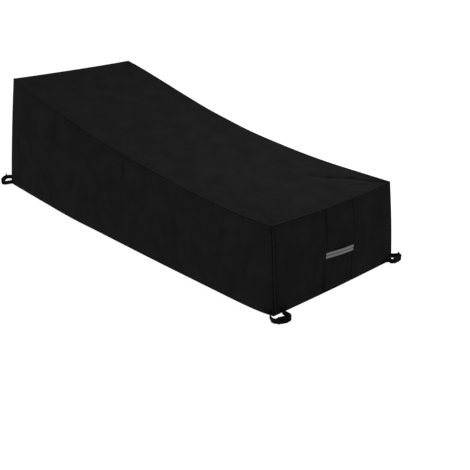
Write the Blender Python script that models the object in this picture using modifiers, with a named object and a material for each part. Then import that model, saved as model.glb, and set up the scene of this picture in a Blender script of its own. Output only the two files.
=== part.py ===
"""Fitted cloth cover for a long lounge chair, hollow and open underneath.

Metres, +Z up. The hem hangs at z = 0, +X points to the foot end and -Y is the near long side.
Seven cloth panels are sewn edge to edge: a top, two long sides, a head end and three at the foot end.
A grey webbing handle crosses the middle foot panel. Each bottom corner has two webbing straps
that are joined by a side-release clip, so that they can be fastened round a leg of the chair.
"""

import math
from collections import namedtuple

import bmesh
import bpy
from mathutils import Matrix, Vector

# Sizes of the sewn cover.
LENGTH = 2.080  # top panel, from the head seam to the foot seam
HEM_HEAD = 1.091  # the hem at the head end, from the middle of the length
HEM_FOOT = 1.077  # the hem at the foot end, from the middle of the length
END_HEM_BOW = 0.005  # how far both end hems bow outwards between their corners
WALL_BELLY = 0.0025  # how far each wall stands proud of a straight line at half its height
DIP_SKEW = 1.25  # over 1 moves the top panel's lowest line towards the far side
DIP_ROUNDING = 0.55  # under 1 makes the dip start steeply at the side seams
CLOTH = 0.002  # panel thickness
GAP = 0.0003  # clear space between two pieces that touch
HEAD_DROP = 0.0006  # how much lower the inner side of the head panel's top edge lies ...
SIDE_DROP = 0.0003  # ... and the same for the long walls, which lets the top panel slope inwards

# Sizes of the trim.
WEBBING = 0.0015  # strap thickness
STRAP_WIDTH = 0.025
STRAP_HEIGHT = 0.0172  # height of the straps' centre line above the floor at a clip
SEWN_HEIGHT = 0.0150  # the same where a strap is sewn to the cloth
SEWN_START = 0.045  # a strap is sewn flat from here, measured from the corner, ...
SEWN_END = 0.020  # ... to here on a long side
SEWN_STEP = 0.034  # an end panel's strap is sewn this much further from the corner
HANDLE_WIDTH = 0.032
HANDLE_THICKNESS = 0.0018
HANDLE_RISE = 0.011  # how far the handle stands off its panel in the middle ...
HANDLE_ARCH = 0.005  # ... and how much higher its middle lies than the line between its ends
HANDLE_INSET = 0.012  # share of the middle panel's width left bare at each end of the handle
HANDLE_NEAR_HEIGHT = 0.1765
HANDLE_FAR_HEIGHT = 0.1605

# Grid divisions. The panels that share a seam have the same divisions along it.
LONG_COLUMNS = 40
WALL_ROWS = 8
FOOT_COLUMNS = (6, 4, 6)  # near, middle and far foot panels
ROUTE_STEPS = 18
ARC_STEPS = 4
HANDLE_STEPS = 14

Section = namedtuple("Section", "along half_width height dip")
TOP_SECTIONS = (
    Section(-1.04, 0.404, 0.642, 0.004),
    Section(-0.96, 0.415, 0.623, 0.007),
    Section(-0.86, 0.416, 0.602, 0.010),
    Section(-0.65, 0.410, 0.562, 0.013),
    Section(-0.45, 0.407, 0.523, 0.014),
    Section(-0.27, 0.404, 0.491, 0.014),
    Section(-0.09, 0.402, 0.465, 0.014),
    Section(0.08, 0.399, 0.444, 0.014),
    Section(0.24, 0.399, 0.430, 0.014),
    Section(0.46, 0.402, 0.414, 0.013),
    Section(0.66, 0.405, 0.405, 0.012),
    Section(0.86, 0.408, 0.404, 0.012),
    Section(1.04, 0.404, 0.409, 0.014),
)

# Distance of the side hems from the centre line. share runs from the head corner to the foot corner.
SideHem = namedtuple("SideHem", "share near far")
SIDE_HEMS = (
    SideHem(0.00, 0.458, 0.458),
    SideHem(0.06, 0.463, 0.463),
    SideHem(0.17, 0.470, 0.468),
    SideHem(0.32, 0.477, 0.473),
    SideHem(0.44, 0.469, 0.470),
    SideHem(0.56, 0.462, 0.464),
    SideHem(0.70, 0.452, 0.457),
    SideHem(0.83, 0.440, 0.450),
    SideHem(0.92, 0.431, 0.443),
    SideHem(0.97, 0.420, 0.438),
    SideHem(1.00, 0.405, 0.432),
)

# The two seams beside the middle foot panel. level is the share of the wall's height above the hem.
FootSeam = namedtuple("FootSeam", "level near far")
FOOT_SEAMS = (
    FootSeam(0.00, -0.084, 0.112),
    FootSeam(0.25, -0.084, 0.115),
    FootSeam(0.48, -0.058, 0.134),
    FootSeam(0.72, -0.055, 0.131),
    FootSeam(1.00, -0.070, 0.121),
)

# Soft folds, each along a line on its panel. depth is inwards, so a negative one is a ridge.
Fold = namedtuple("Fold", "x y to_x to_y depth half_width")
TOP_FOLDS = (
    Fold(1.00, 0.370, 0.74, 0.240, 0.0060, 0.045),
    Fold(0.98, 0.300, 0.80, 0.140, -0.0040, 0.060),
    Fold(0.40, 0.060, 0.16, 0.290, 0.0040, 0.070),
    Fold(0.52, -0.230, 0.36, -0.060, 0.0030, 0.080),
    Fold(-0.10, 0.250, -0.42, 0.180, -0.0035, 0.090),
    Fold(-0.30, -0.260, -0.62, -0.180, 0.0035, 0.080),
    Fold(-0.75, 0.280, -0.93, -0.060, -0.0040, 0.090),
    Fold(0.82, -0.290, 0.62, -0.240, -0.0030, 0.070),
)
NEAR_FOLDS = (
    Fold(-0.95, 0.50, -0.92, 0.10, -0.0040, 0.070),
    Fold(-0.59, 0.52, -0.61, 0.14, 0.0045, 0.060),
    Fold(-0.30, 0.40, -0.27, 0.08, -0.0040, 0.090),
    Fold(0.01, 0.42, 0.05, 0.10, 0.0050, 0.060),
    Fold(0.34, 0.34, 0.30, 0.08, -0.0040, 0.080),
    Fold(0.62, 0.34, 0.66, 0.10, 0.0035, 0.070),
    Fold(0.93, 0.34, 0.96, 0.08, -0.0035, 0.050),
)
FAR_FOLDS = (
    Fold(-0.90, 0.50, -0.93, 0.12, 0.0040, 0.070),
    Fold(-0.62, 0.46, -0.58, 0.10, -0.0045, 0.080),
    Fold(-0.24, 0.42, -0.27, 0.08, 0.0045, 0.070),
    Fold(0.12, 0.38, 0.15, 0.08, -0.0040, 0.090),
    Fold(0.47, 0.34, 0.44, 0.08, 0.0045, 0.060),
    Fold(0.83, 0.34, 0.86, 0.06, -0.0040, 0.070),
)
HEAD_FOLDS = (
    Fold(-0.24, 0.54, -0.27, 0.12, 0.0050, 0.060),
    Fold(0.02, 0.50, 0.05, 0.10, -0.0050, 0.080),
    Fold(0.27, 0.54, 0.24, 0.14, 0.0045, 0.060),
)
FOOT_FOLDS = (
    Fold(-0.30, 0.33, -0.32, 0.06, -0.0040, 0.050),
    Fold(-0.17, 0.34, -0.19, 0.06, 0.0035, 0.045),
    Fold(0.03, 0.34, 0.02, 0.24, -0.0040, 0.045),
    Fold(0.25, 0.33, 0.23, 0.06, 0.0040, 0.050),
    Fold(0.34, 0.33, 0.36, 0.06, -0.0035, 0.045),
)

# One row for each bottom corner. end is +1 at the foot, side is -1 on the near side. Places are seen
# from above and measured from the hem's corner: out is away from the cover's middle along its length,
# and wide is away from its centre line. turn is the direction from the side strap's clip half to the
# end strap's, in degrees from straight out. tail_on names the strap with the free end, which spreads
# away from the loop and rises.
Corner = namedtuple("Corner", "name end side clip_out clip_wide turn tail_on tail spread rise")
CORNERS = (
    Corner("near_foot", 1, -1, 0.065, 0.013, -67, "side", 0.030, 0.001, 0.000),
    Corner("far_foot", 1, 1, 0.033, -0.001, -90, "side", 0.022, 0.003, 0.007),
    Corner("near_head", -1, -1, 0.047, 0.026, -48, "end", 0.018, 0.005, 0.012),
    Corner("far_head", -1, 1, 0.049, 0.021, -52, "end", 0.034, 0.009, 0.006),
)

# Where a strap passes between the cloth and its clip. lift is the height of its lower edge, and lean
# tips its upper edge outwards, in degrees.
RoutePoint = namedtuple("RoutePoint", "corner which out wide lift lean")
ROUTES = (
    RoutePoint("near_foot", "side", 0.001, 0.026, 0.001, 34),
    RoutePoint("near_foot", "side", 0.022, 0.039, 0.001, 28),
    RoutePoint("near_foot", "side", 0.039, 0.044, 0.002, 14),
    RoutePoint("near_foot", "end", 0.013, -0.041, 0.003, 4),
    RoutePoint("near_foot", "end", 0.032, -0.037, 0.003, 8),
    RoutePoint("near_foot", "end", 0.050, -0.037, 0.003, 6),
    RoutePoint("near_foot", "end", 0.067, -0.034, 0.004, 0),
    RoutePoint("far_foot", "side", 0.001, 0.019, 0.006, 0),
    RoutePoint("far_foot", "side", 0.012, 0.031, 0.007, 0),
    RoutePoint("far_foot", "end", 0.011, -0.038, 0.003, 4),
    RoutePoint("far_foot", "end", 0.025, -0.036, 0.002, 4),
    RoutePoint("near_head", "side", -0.009, 0.016, 0.001, 10),
    RoutePoint("near_head", "side", -0.005, 0.039, 0.001, 8),
    RoutePoint("near_head", "side", 0.009, 0.050, 0.002, 4),
    RoutePoint("near_head", "end", 0.016, -0.046, 0.003, 0),
    RoutePoint("near_head", "end", 0.037, -0.042, 0.004, -6),
    RoutePoint("near_head", "end", 0.058, -0.035, 0.005, -4),
    RoutePoint("near_head", "end", 0.073, -0.017, 0.005, 0),
    RoutePoint("far_head", "side", -0.006, 0.016, 0.002, 6),
    RoutePoint("far_head", "side", -0.001, 0.034, 0.001, 4),
    RoutePoint("far_head", "side", 0.012, 0.044, 0.003, 2),
    RoutePoint("far_head", "end", 0.014, -0.043, 0.002, 6),
    RoutePoint("far_head", "end", 0.036, -0.039, 0.003, 10),
    RoutePoint("far_head", "end", 0.058, -0.037, 0.002, 4),
    RoutePoint("far_head", "end", 0.075, -0.022, 0.004, 0),
)
SOCKET_TAIL = 0.020  # length that is folded back and sewn behind the clip's socket

# The side-release clip, along X, with its width along Z and its thickness along Y.
CLIP_HALF_LENGTH = 0.024
CLIP_WIDTH = 0.034
CLIP_FRONT_THICKNESS = 0.0105
CLIP_REAR_THICKNESS = 0.0056
CLIP_BAR = 0.0035  # width of the bar that the strap wraps
CLIP_BAR_HALF = 0.0031  # half the bar's thickness at its thicker edge
CLIP_SLOT = 0.0056  # width of the slot inside the bar
CLIP_SLOT_LENGTH = 0.027
CLIP_APPROACH = 0.031  # from here outwards, measured from the clip's centre, a strap runs free
APPROACH_RUN = 0.011  # how straight a strap reaches the clip
SEWN_RUN = 0.010  # how flat a strap leaves the cloth
LAYER_STEP = WEBBING + 0.0009  # from the middle of one layer of webbing to the next
SOCKET_MOUTH = 0.006
CAVITY_DEPTH = 0.018
CAVITY_WIDTH = 0.0250
CAVITY_THICKNESS = 0.0066
WINDOW_START = -0.010
WINDOW_END = 0.001
PRONG_TIP = -0.0105
PRONG_INNER = 0.0060
PRONG_OUTER = 0.0108
PRONG_PAD = 0.0150
TONGUE_TIP = -0.006
TONGUE_HALF = 0.0022
CLIP_ROUNDING = 0.0010


# ---------------------------------------------------------------- curves through the tables
def mix(first, last, share):
    return first + (last - first) * share


def through(rows, key, value, at):
    """Smooth curve through a table's rows: the column called value at the place at in column key."""
    places = [getattr(row, key) for row in rows]
    values = [getattr(row, value) for row in rows]
    at = min(max(at, places[0]), places[-1])
    index = max(i for i in range(len(rows) - 1) if places[i] <= at)
    before, after = max(index - 1, 0), min(index + 2, len(rows) - 1)
    width = places[index + 1] - places[index]
    slope_in = (values[index + 1] - values[before]) / (places[index + 1] - places[before])
    slope_out = (values[after] - values[index]) / (places[after] - places[index])
    t = (at - places[index]) / width
    return (
        (2 * t**3 - 3 * t**2 + 1) * values[index]
        + (t**3 - 2 * t**2 + t) * width * slope_in
        + (3 * t**2 - 2 * t**3) * values[index + 1]
        + (t**3 - t**2) * width * slope_out
    )


def spline(points, steps, first_run, last_run):
    """Points along a smooth curve through all the given points, with its runs at both ends given."""
    padded = [points[1] - 2 * first_run, *points, points[-2] + 2 * last_run]
    spans = len(points) - 1
    result = []
    for step in range(steps + 1):
        place = min(step * spans / steps, spans - 1e-6)
        index = int(place)
        t = place - index
        p0, p1, p2, p3 = padded[index : index + 4]
        result.append(
            0.5
            * (
                2 * p1
                + (p2 - p0) * t
                + (2 * p0 - 5 * p1 + 4 * p2 - p3) * t**2
                + (3 * p1 - p0 - 3 * p2 + p3) * t**3
            )
        )
    return result


def fold_depth(folds, x, y):
    """How far the folds push a panel inwards at a place on it."""
    total = 0.0
    for fold in folds:
        start = Vector((fold.x, fold.y))
        run = Vector((fold.to_x, fold.to_y)) - start
        offset = Vector((x, y)) - start
        share = min(max(offset.dot(run) / run.length_squared, 0.0), 1.0)
        distance = (offset - run * share).length
        total += fold.depth * math.exp(-((distance / fold.half_width) ** 2))
    return total


def seam_fade(across, down):
    """1 inside a panel and 0 on its four edges, where it meets other panels."""
    return (1 - (2 * across - 1) ** 8) * (1 - (2 * down - 1) ** 4)


# ---------------------------------------------------------------- the cover's form
def half_width(x):
    return through(TOP_SECTIONS, "along", "half_width", x)


def top_height(x, y):
    """Height of the top panel's upper face."""
    half = half_width(x)
    across = min(max((y + half) / (2 * half), 0.0), 1.0)
    along = x / LENGTH + 0.5
    dip = through(TOP_SECTIONS, "along", "dip", x)
    sag = dip * math.sin(math.pi * across**DIP_SKEW) ** DIP_ROUNDING
    folds = fold_depth(TOP_FOLDS, x, y) * seam_fade(along, across)
    return through(TOP_SECTIONS, "along", "height", x) - sag - folds


def wall_top(x, y):
    """Height of a wall's top edge, which lies just under the top panel."""
    return top_height(x, y) - CLOTH - GAP


def hem_width(side, share):
    return through(SIDE_HEMS, "share", "near" if side < 0 else "far", share)


def side_grid(side):
    """Points of a long wall, columns from head to foot and rows from the top edge to the hem."""
    folds = NEAR_FOLDS if side < 0 else FAR_FOLDS
    grid = []
    for i in range(LONG_COLUMNS + 1):
        share = i / LONG_COLUMNS
        x = LENGTH * (share - 0.5)
        top = Vector((x, half_width(x), wall_top(x, side * half_width(x))))
        hem = Vector((mix(-HEM_HEAD, HEM_FOOT, share), hem_width(side, share), 0.0))
        column = []
        for j in range(WALL_ROWS + 1):
            down = j / WALL_ROWS
            point = top.lerp(hem, down)
            belly = WALL_BELLY * math.sin(math.pi * down)
            point.x += belly * (2 * share - 1)
            point.y += belly - fold_depth(folds, point.x, point.z) * seam_fade(share, down)
            point.y *= side
            column.append(point)
        grid.append(column)
    return grid


def foot_seam(side, down):
    return through(FOOT_SEAMS, "level", "near" if side < 0 else "far", 1 - down)


def end_columns(walls, end):
    """Points of an end wall, as one list for each column from the near corner to the far corner."""
    index = -1 if end > 0 else 0
    near, far = walls[-1][index], walls[1][index]
    folds = FOOT_FOLDS if end > 0 else HEAD_FOLDS
    hem = HEM_FOOT if end > 0 else HEM_HEAD
    total = sum(FOOT_COLUMNS)
    columns = []
    for i in range(total + 1):
        column = []
        for j in range(WALL_ROWS + 1):
            down = j / WALL_ROWS
            marks = (near[j].y, foot_seam(-1, down), foot_seam(1, down), far[j].y)
            y = between_marks(marks, i)
            across = (y - near[j].y) / (far[j].y - near[j].y)
            top_y = between_marks((near[0].y, foot_seam(-1, 0), foot_seam(1, 0), far[0].y), i)
            z = wall_top(end * LENGTH / 2, top_y) * (1 - down)
            bow = END_HEM_BOW * math.sin(math.pi * across)
            reach = mix(LENGTH / 2, hem + bow, down) + WALL_BELLY * math.sin(math.pi * down)
            reach -= fold_depth(folds, y, z) * seam_fade(across, down)
            column.append(Vector((end * reach, y, z)))
        columns.append(column)
    return columns


def between_marks(marks, column):
    """Place of a column across an end wall whose panels meet at the marks."""
    for panel, count in enumerate(FOOT_COLUMNS):
        if column <= count:
            return mix(marks[panel], marks[panel + 1], column / count)
        column -= count
    return marks[-1]


def top_grid():
    """Points of the top panel, columns from head to foot and rows from the near to the far side."""
    marks = (-half_width(LENGTH / 2), foot_seam(-1, 0), foot_seam(1, 0), half_width(LENGTH / 2))
    grid = []
    for i in range(LONG_COLUMNS + 1):
        x = LENGTH * (i / LONG_COLUMNS - 0.5)
        widening = half_width(x) / half_width(LENGTH / 2)
        column = []
        for j in range(sum(FOOT_COLUMNS) + 1):
            y = between_marks(marks, j) * widening
            column.append(Vector((x, y, top_height(x, y))))
        grid.append(column)
    return grid


def drawn_in(columns, first, last):
    """A copy of a grid with its first and last columns drawn in along the cloth by these distances."""
    grid = [[point.copy() for point in column] for column in columns]
    for edge, inner, distance in ((0, 1, first), (-1, -2, last)):
        for point, neighbour in zip(grid[edge], grid[inner]):
            run = neighbour - point
            point += run * (distance / abs(run.y))
    return grid


def on_grid(grid, i, j):
    """Point of a panel's face at a fractional column and row."""
    i0, j0 = min(int(i), len(grid) - 2), min(int(j), len(grid[0]) - 2)
    u, v = i - i0, j - j0
    upper = grid[i0][j0].lerp(grid[i0 + 1][j0], u)
    lower = grid[i0][j0 + 1].lerp(grid[i0 + 1][j0 + 1], u)
    return upper.lerp(lower, v)


# ---------------------------------------------------------------- Blender objects
def clear_scene():
    for scene_object in list(bpy.data.objects):
        bpy.data.objects.remove(scene_object, do_unlink=True)


def new_collection(name):
    collection = bpy.data.collections.new(name)
    bpy.context.scene.collection.children.link(collection)
    return collection


def new_material(name, color, roughness):
    material = bpy.data.materials.new(name)
    material.use_nodes = True
    shader = material.node_tree.nodes["Principled BSDF"]
    shader.inputs["Base Color"].default_value = (*color, 1.0)
    shader.inputs["Roughness"].default_value = roughness
    shader.inputs["Metallic"].default_value = 0.0
    return material


def new_object(name, mesh, collection, material=None):
    made = bpy.data.objects.new(name, mesh)
    collection.objects.link(made)
    if material:
        mesh.materials.append(material)
    return made


def grid_mesh(name, grid):
    """Mesh sheet through a grid of points."""
    columns, rows = len(grid) - 1, len(grid[0]) - 1
    bm = bmesh.new()
    bmesh.ops.create_grid(bm, x_segments=columns, y_segments=rows, size=1.0)
    for vert in bm.verts:
        i = round((vert.co.x + 1) / 2 * columns)
        j = round((vert.co.y + 1) / 2 * rows)
        vert.co = grid[i][j]
    return bm, bpy.data.meshes.new(name)


def cloth_panel(name, grid, inwards, drop, collection, material):
    """Sheet of cloth whose outer face passes through the grid. drop lowers the inner face's top edge."""
    bm, mesh = grid_mesh(name, grid)
    lining = bmesh.ops.extrude_face_region(bm, geom=bm.faces[:])["geom"]
    moved = [item for item in lining if isinstance(item, bmesh.types.BMVert)]
    bmesh.ops.translate(bm, verts=moved, vec=Vector(inwards) * CLOTH)
    bmesh.ops.scale(bm, verts=moved, vec=(1, 1, 1 - drop / max(vert.co.z for vert in bm.verts)))
    bmesh.ops.recalc_face_normals(bm, faces=bm.faces[:])
    bm.to_mesh(mesh)
    bm.free()
    mesh.shade_smooth()
    mesh.set_sharp_from_angle(angle=math.radians(40))
    return new_object(name, mesh, collection, material)


def ribbon(name, path, width, thickness, collection, material):
    """Webbing along a path of (centre, direction of its width) pairs."""
    grid = [[centre - up * (width / 2), centre + up * (width / 2)] for centre, up in path]
    bm, mesh = grid_mesh(name, grid)
    bm.to_mesh(mesh)
    bm.free()
    made = new_object(name, mesh, collection, material)
    solid = made.modifiers.new("Thickness", "SOLIDIFY")
    solid.thickness = thickness
    solid.offset = 0.0
    return made


def box_mesh(name, low, high):
    bm = bmesh.new()
    bmesh.ops.create_cube(bm, size=1.0)
    size = [b - a for a, b in zip(low, high)]
    centre = [(a + b) / 2 for a, b in zip(low, high)]
    bmesh.ops.scale(bm, vec=size, verts=bm.verts[:])
    bmesh.ops.translate(bm, vec=centre, verts=bm.verts[:])
    mesh = bpy.data.meshes.new(name)
    bm.to_mesh(mesh)
    bm.free()
    return mesh


def cut(body, name, low, high, cutters):
    """Cuts a box out of a body with a Boolean modifier. The box is given in the body's own frame."""
    cutter = new_object(name, box_mesh(name, low, high), cutters)
    cutter.matrix_world = body.matrix_world.copy()
    cutter.hide_render = True
    cutter.display_type = "WIRE"
    boolean = body.modifiers.new(name, "BOOLEAN")
    boolean.operation = "DIFFERENCE"
    boolean.solver = "EXACT"
    boolean.object = cutter


# ---------------------------------------------------------------- the straps and clips
def corner_point(corner, out, wide, height):
    """World point of a place beside a bottom corner of the hem."""
    reach = HEM_FOOT if corner.end > 0 else HEM_HEAD
    width = hem_width(corner.side, 1.0 if corner.end > 0 else 0.0)
    return Vector((corner.end * (reach + out), corner.side * (width + wide), height))


def sewn_points(corner, which, walls, ends):
    """Where a strap lies flat on the cloth, as (centre, direction of its width) pairs."""
    if which == "side":
        grid, at_last, shift = walls[corner.side], corner.end > 0, 0.0
        outwards = Vector((0, corner.side, 0))
    else:
        grid, at_last, shift = ends[corner.end], corner.side > 0, SEWN_STEP
        outwards = Vector((corner.end, 0, 0))
    columns = grid[::-1] if at_last else grid
    pitch = (columns[1][-1] - columns[0][-1]).length
    points = []
    for distance in (SEWN_START + shift, SEWN_END + shift):
        column = distance / pitch
        hem = on_grid(columns, column, WALL_ROWS)
        above = on_grid(columns, column, WALL_ROWS - 1)
        face = hem.lerp(above, SEWN_HEIGHT / above.z)
        points.append((face + outwards * (GAP + WEBBING / 2), (above - hem).normalized()))
    return points


def hook_points():
    """Path of a strap round the clip's bar, as (along, inwards) pairs in the clip's frame."""
    bar = CLIP_HALF_LENGTH - CLIP_BAR
    radius = CLIP_BAR_HALF + GAP + WEBBING / 2
    beyond = CLIP_HALF_LENGTH + GAP
    points = [(CLIP_APPROACH, LAYER_STEP / 2), (beyond, radius)]
    for step in range(ARC_STEPS + 1):
        angle = math.pi / 2 + math.pi * step / ARC_STEPS
        points.append((bar + radius * math.cos(angle), radius * math.sin(angle)))
    points += [(beyond, -radius), (CLIP_APPROACH, -LAYER_STEP / 2)]
    return points


def clip_heading(corner, which):
    """Direction seen from above from the clip's middle towards a strap, as out and wide."""
    turn = math.radians(corner.turn)
    heading = Vector((math.cos(turn), math.sin(turn)))
    return heading if which == "end" else -heading


def strap_path(corner, which, walls, ends):
    """Path of one strap: sewn to the cloth, along the loop, round the clip's bar and back."""
    sewn = sewn_points(corner, which, walls, ends)
    heading = clip_heading(corner, which)
    inwards = Vector((-abs(heading.y), -abs(heading.x)))

    def placed(along, inward):
        spot = Vector((corner.clip_out, corner.clip_wide)) + heading * along + inwards * inward
        return corner_point(corner, spot.x, spot.y, STRAP_HEIGHT)

    start, points, leans = sewn[0][0], [sewn[1][0]], [0.0]
    for row in ROUTES:
        if (row.corner, row.which) == (corner.name, which):
            lean = math.radians(row.lean)
            height = row.lift + STRAP_WIDTH / 2 * math.cos(lean)
            points.append(corner_point(corner, row.out, row.wide, height))
            leans.append(lean)
    hook = [placed(*spot) for spot in hook_points()]
    points.append(hook[0])
    leans.append(0.0)
    leave = (points[0] - start).normalized() * SEWN_RUN
    arrive = (placed(0, 0) - placed(1, 0)).normalized() * APPROACH_RUN
    loop = spline(points, ROUTE_STEPS, leave, arrive)
    normals = outward_normals(loop, placed(0, -1) - placed(0, 0))
    widths = []
    for step, normal in enumerate(normals):
        place = min(step * (len(leans) - 1) / ROUTE_STEPS, len(leans) - 1.001)
        lean = mix(leans[int(place)], leans[int(place) + 1], place % 1)
        width = Vector((0, 0, math.cos(lean))) + normal * math.sin(lean)
        widths.append(width.lerp(sewn[1][1], max(1 - place, 0.0)).normalized())

    path = [(start, sewn[0][1]), *zip(loop, widths)]
    path += [(point, Vector((0, 0, 1))) for point in hook[1:]]
    free = which == corner.tail_on
    length = corner.tail if free else SOCKET_TAIL
    spread, rise = (corner.spread, corner.rise) if free else (0.0, 0.0)
    travelled = 0.0
    for index in range(len(loop) - 2, 0, -1):
        travelled += (loop[index + 1] - loop[index]).length
        share = min(travelled / length, 1.0)
        away = normals[index] * (LAYER_STEP + spread * share**2)
        path.append((loop[index] + away + Vector((0, 0, rise * share**2)), widths[index]))
        if travelled >= length:
            break
    return path


def outward_normals(loop, outwards):
    """Level directions square to a loop. The last one is on the side that outwards points to."""
    normals = []
    for index in range(len(loop) - 1, -1, -1):
        run = loop[min(index + 1, len(loop) - 1)] - loop[max(index - 1, 0)]
        normal = Vector((run.y, -run.x, 0.0)).normalized()
        outwards = normal if normal.dot(outwards) > 0 else -normal
        normals.insert(0, outwards)
    return normals


def clip_matrix(corner):
    """Placement of a clip whose plug is on the strap with the free end."""
    heading = clip_heading(corner, corner.tail_on)
    angle = math.atan2(corner.side * heading.y, corner.end * heading.x)
    place = corner_point(corner, corner.clip_out, corner.clip_wide, STRAP_HEIGHT)
    return Matrix.Translation(place) @ Matrix.Rotation(angle, 4, "Z")


def clip_socket(corner, collection, cutters, material):
    """Socket half of a clip: a flat tapered box with a mouth, two side windows and a strap slot."""
    name = f"clip_socket_{corner.name}"
    half = CLIP_FRONT_THICKNESS / 2
    low = (-CLIP_HALF_LENGTH, -half, -CLIP_WIDTH / 2)
    high = (SOCKET_MOUTH, half, CLIP_WIDTH / 2)
    mesh = box_mesh(name, low, high)
    for vert in mesh.vertices:
        if vert.co.x < 0:
            vert.co.y *= CLIP_REAR_THICKNESS / CLIP_FRONT_THICKNESS
    socket = new_object(name, mesh, collection, material)
    socket.matrix_world = clip_matrix(corner)
    bevel = socket.modifiers.new("Rounded edges", "BEVEL")
    bevel.width = CLIP_ROUNDING
    bevel.segments = 1
    deep = SOCKET_MOUTH - CAVITY_DEPTH
    bar = -CLIP_HALF_LENGTH + CLIP_BAR
    thick, wide = CAVITY_THICKNESS / 2, CAVITY_WIDTH / 2
    cut(socket, f"{name}_mouth", (deep, -thick, -wide), (SOCKET_MOUTH + 0.01, thick, wide), cutters)
    cut(
        socket,
        f"{name}_windows",
        (WINDOW_START, -thick, -CLIP_WIDTH),
        (WINDOW_END, thick, CLIP_WIDTH),
        cutters,
    )
    slot = CLIP_SLOT_LENGTH / 2
    cut(socket, f"{name}_slot", (bar, -0.02, -slot), (bar + CLIP_SLOT, 0.02, slot), cutters)
    return socket


def clip_plug(corner, collection, cutters, material):
    """Plug half of a clip: a flat plate with a strap slot, two sprung prongs and a guide tongue."""
    name = f"clip_plug_{corner.name}"
    base = SOCKET_MOUTH + GAP
    half = CLIP_WIDTH / 2
    side = (
        (CLIP_HALF_LENGTH, half - 0.003),
        (CLIP_HALF_LENGTH - 0.002, half),
        (base, half),
        (base, PRONG_OUTER),
        (WINDOW_END - 0.0008, PRONG_OUTER),
        (WINDOW_END - 0.0030, PRONG_PAD),
        (WINDOW_START + 0.0010, PRONG_PAD),
        (PRONG_TIP, PRONG_OUTER - 0.0015),
        (PRONG_TIP, PRONG_INNER),
        (base + 0.0015, PRONG_INNER),
        (base + 0.0015, TONGUE_HALF),
        (TONGUE_TIP, TONGUE_HALF),
    )
    outline = list(side) + [(x, -z) for x, z in reversed(side)]
    thick = CLIP_REAR_THICKNESS / 2
    bm = bmesh.new()
    face = bm.faces.new([bm.verts.new((x, -thick, z)) for x, z in outline])
    sweep = bmesh.ops.extrude_face_region(bm, geom=[face])["geom"]
    moved = [item for item in sweep if isinstance(item, bmesh.types.BMVert)]
    bmesh.ops.translate(bm, verts=moved, vec=(0, 2 * thick, 0))
    bmesh.ops.recalc_face_normals(bm, faces=bm.faces[:])
    mesh = bpy.data.meshes.new(name)
    bm.to_mesh(mesh)
    bm.free()
    plug = new_object(name, mesh, collection, material)
    plug.matrix_world = clip_matrix(corner)
    bar = CLIP_HALF_LENGTH - CLIP_BAR
    slot = CLIP_SLOT_LENGTH / 2
    cut(plug, f"{name}_slot", (bar - CLIP_SLOT, -0.02, -slot), (bar, 0.02, slot), cutters)
    return plug


def handle_path(middle):
    """Path of the grab handle, whose ends are caught in the seams beside the middle foot panel."""
    columns = len(middle) - 1
    result = []
    for step in range(HANDLE_STEPS + 1):
        share = step / HANDLE_STEPS
        column = columns * mix(HANDLE_INSET, 1 - HANDLE_INSET, share)
        slack = math.sin(math.pi * share) ** 2
        height = mix(HANDLE_NEAR_HEIGHT, HANDLE_FAR_HEIGHT, share) + HANDLE_ARCH * slack
        row = WALL_ROWS * (1 - height / on_grid(middle, column, 0).z)
        face = on_grid(middle, column, row)
        up = (on_grid(middle, column, row - 0.2) - face).normalized()
        off = GAP + HANDLE_THICKNESS / 2 + HANDLE_RISE * slack
        result.append((face + Vector((off, 0, 0)), up))
    return result


def build():
    clear_scene()
    cover = new_collection("lounge_chair_cover")
    cutters = new_collection("cutters")
    cloth = new_material("coated Oxford cloth, black", (0.013, 0.013, 0.014), 0.62)
    grey = new_material("handle webbing, grey", (0.110, 0.110, 0.114), 0.70)
    black = new_material("strap webbing, black", (0.012, 0.012, 0.012), 0.75)
    plastic = new_material("moulded acetal, black", (0.010, 0.010, 0.010), 0.40)

    walls = {side: side_grid(side) for side in (-1, 1)}
    ends = {end: end_columns(walls, end) for end in (-1, 1)}
    corner_inset = CLOTH + GAP
    cloth_panel("top_panel", top_grid(), (0, 0, -1), 0.0, cover, cloth)
    cloth_panel("side_panel_near", walls[-1], (0, 1, 0), SIDE_DROP, cover, cloth)
    cloth_panel("side_panel_far", walls[1], (0, -1, 0), SIDE_DROP, cover, cloth)
    head = drawn_in(ends[-1], corner_inset, corner_inset)
    cloth_panel("head_panel", head, (1, 0, 0), HEAD_DROP, cover, cloth)

    first, second = FOOT_COLUMNS[0], FOOT_COLUMNS[0] + FOOT_COLUMNS[1]
    near = drawn_in(ends[1][: first + 1], corner_inset, GAP / 2)
    middle = drawn_in(ends[1][first : second + 1], GAP / 2, GAP / 2)
    far = drawn_in(ends[1][second:], GAP / 2, corner_inset)
    cloth_panel("foot_panel_near", near, (-1, 0, 0), 0.0, cover, cloth)
    cloth_panel("foot_panel_middle", middle, (-1, 0, 0), 0.0, cover, cloth)
    cloth_panel("foot_panel_far", far, (-1, 0, 0), 0.0, cover, cloth)
    ribbon("grab_handle", handle_path(middle), HANDLE_WIDTH, HANDLE_THICKNESS, cover, grey)

    for corner in CORNERS:
        for which in ("side", "end"):
            path = strap_path(corner, which, walls, ends)
            name = f"strap_{corner.name}_{which}"
            ribbon(name, path, STRAP_WIDTH, WEBBING, cover, black)
        clip_socket(corner, cover, cutters, plastic)
        clip_plug(corner, cover, cutters, plastic)


build()
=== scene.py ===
"""Looks of the fitted lounge chair cover: fine cloth panels with their seams, hems, creases and stitching,
woven webbing for the handle and straps, and rounded side-release clips.

Metres, +Z up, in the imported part's frame. +X points to the foot end and -Y is the near long side.
"""

import math
from collections import namedtuple
from functools import lru_cache

import bmesh
import bpy
from mathutils import Matrix, Vector, noise


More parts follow.
